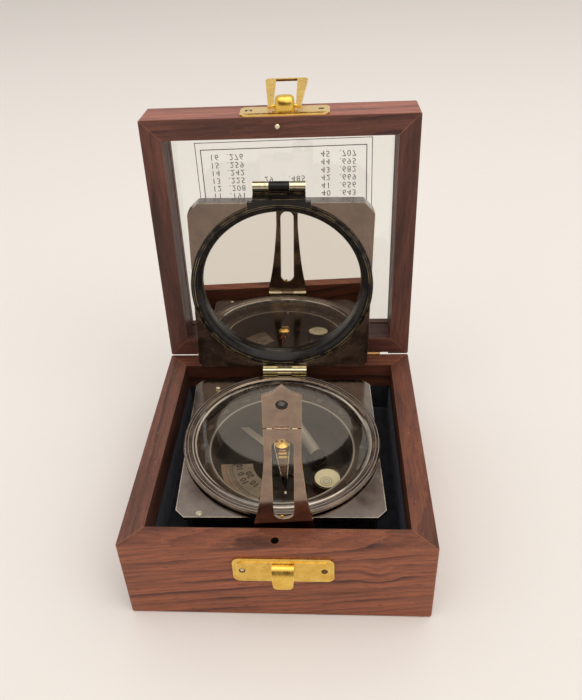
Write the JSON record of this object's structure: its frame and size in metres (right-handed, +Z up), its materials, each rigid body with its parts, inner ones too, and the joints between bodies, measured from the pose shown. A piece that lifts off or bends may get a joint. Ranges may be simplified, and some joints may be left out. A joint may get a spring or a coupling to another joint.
{
  "type": "compass box",
  "caption": "Square rosewood box with a glazed lid and brass latch, holding a folding brass pocket transit compass with mirror lid and slotted sight.",
  "frame": {"origin": "centre of the underside of the box, on the table", "axes": "+Z up, -Y towards the front with the latch, +X to the right seen from the front; the box lid stands open as in the picture"},
  "size_m": [0.105, 0.1424, 0.1468],
  "materials": {
    "rosewood": "waxed rosewood with dark wavy grain",
    "velvet": "navy velvet",
    "clear_glass": "clear glass",
    "bright_brass": "pressed and turned bright brass",
    "aged_brass": "chemically darkened brass, worn bright at the edges",
    "pale_brass": "pale rubbed brass",
    "blackened": "black lacquered metal",
    "steel": "blued and polished steel",
    "mirror_glass": "silvered mirror"
  },
  "bodies": {
    "base": {"base_wall_front": "rosewood", "base_wall_right": "rosewood", "base_wall_back": "rosewood", "base_wall_left": "rosewood", "base_floor": "rosewood", "floor_pad": "velvet", "wall_liner": "velvet", "butt_base_leaves": "bright_brass", "butt_base_nails": "bright_brass", "butt_pins": "bright_brass", "base_catch": "bright_brass", "base_catch_nails": "bright_brass"},
    "box_lid": {"lid_rail_front": "rosewood", "lid_rail_right": "rosewood", "lid_rail_back": "rosewood", "lid_rail_left": "rosewood", "lid_pane": "clear_glass", "closing_dowel": "bright_brass", "butt_lid_leaves": "bright_brass", "butt_lid_nails": "bright_brass", "lid_clip": "bright_brass", "lid_clip_nails": "bright_brass"},
    "loop": {"latch_loop": "bright_brass"},
    "compass": {"compass_case": "aged_brass", "top_plate": "aged_brass", "flange_ring": "aged_brass", "crystal": "clear_glass", "glass_bead": "aged_brass", "dial_ring": "aged_brass", "dial_floor": "aged_brass", "corner_plug": "bright_brass", "body_hinge_leaf": "pale_brass", "body_hinge_pin": "pale_brass", "arm_bracket": "aged_brass", "arm_pin": "pale_brass"},
    "compass_lid": {"lid_hinge_knuckles": "pale_brass", "mirror_tray": "aged_brass", "lid_ring": "aged_brass", "retainer": "blackened", "mirror": "mirror_glass", "sight_block": "aged_brass", "top_sight_pin": "pale_brass"},
    "folding_sight": {"top_sight": "pale_brass"},
    "front_sight": {"sight_arm": "aged_brass", "tip_pin": "pale_brass"},
    "sight_head": {"sight_tip": "aged_brass"},
    "needle": {"needle_blades": "steel", "needle_hub": "bright_brass"},
    "clinometer": {"clinometer_arm": "aged_brass", "tube_level": "clear_glass", "vial_caps": "blackened", "bull_cup": "aged_brass", "bull_vial": "clear_glass", "pivot_post": "steel", "lever": "aged_brass"},
    "lifter": {"lifter_pin": "bright_brass"}
  },
  "joints": [
    {"name": "box_lid_hinge", "type": "hinge", "parent": "base", "child": "box_lid", "pos_m": [0, 0.05255, 0.0356], "axis": [1, 0, 0], "range_deg": [0, 92.3]},
    {"name": "latch_loop", "type": "hinge", "parent": "box_lid", "child": "loop", "pos_m": [0.0023, 0.06296, 0.14251], "axis": [1, 0, 0], "range_deg": [0, 168]},
    {"name": "compass_lift", "type": "slide", "parent": "base", "child": "compass", "axis": [-0.0319, 0.0276, -0.9991], "range_m": [-0.06, 0]},
    {"name": "compass_lid_hinge", "type": "hinge", "parent": "compass", "child": "compass_lid", "pos_m": [-0.00171, 0.0387, 0.0373], "axis": [0.9988, 0.037, -0.0309], "range_deg": [0, 95.5]},
    {"name": "folding_sight_hinge", "type": "hinge", "parent": "compass_lid", "child": "folding_sight", "pos_m": [-0.00046, 0.05148, 0.11559], "axis": [-0.9988, -0.037, 0.0309], "range_deg": [-175, 0]},
    {"name": "front_sight_hinge", "type": "hinge", "parent": "compass", "child": "front_sight", "pos_m": [0.00241, -0.04121, 0.03286], "axis": [-0.9988, -0.037, 0.0309], "range_deg": [0, 93.1]},
    {"name": "sight_head_hinge", "type": "hinge", "parent": "front_sight", "child": "sight_head", "pos_m": [0.00415, -0.04708, 0.08211], "axis": [0.9988, 0.037, -0.0309], "range_deg": [0, 179]},
    {"name": "needle_spin", "type": "hinge", "parent": "compass", "child": "needle", "pos_m": [-0.00045, 0.0005, 0.0323], "axis": [0.0319, -0.0276, 0.9991], "continuous": true},
    {"name": "clinometer_turn", "type": "hinge", "parent": "compass", "child": "clinometer", "pos_m": [-0.00045, 0.0005, 0.0323], "axis": [0.0319, -0.0276, 0.9991], "range_deg": [-40, 40]},
    {"name": "needle_lift", "type": "slide", "parent": "compass", "child": "lifter", "axis": [-0.0319, 0.0276, -0.9991], "range_m": [0, 0.0008], "stiffness_N_per_m": 100}
  ],
  "couplings": [
    {"joint": "compass_lid_hinge", "follows": "box_lid_hinge", "ratio": 1.0342},
    {"joint": "front_sight_hinge", "follows": "box_lid_hinge", "ratio": 1.0082},
    {"joint": "sight_head_hinge", "follows": "box_lid_hinge", "ratio": 1.9388}
  ]
}
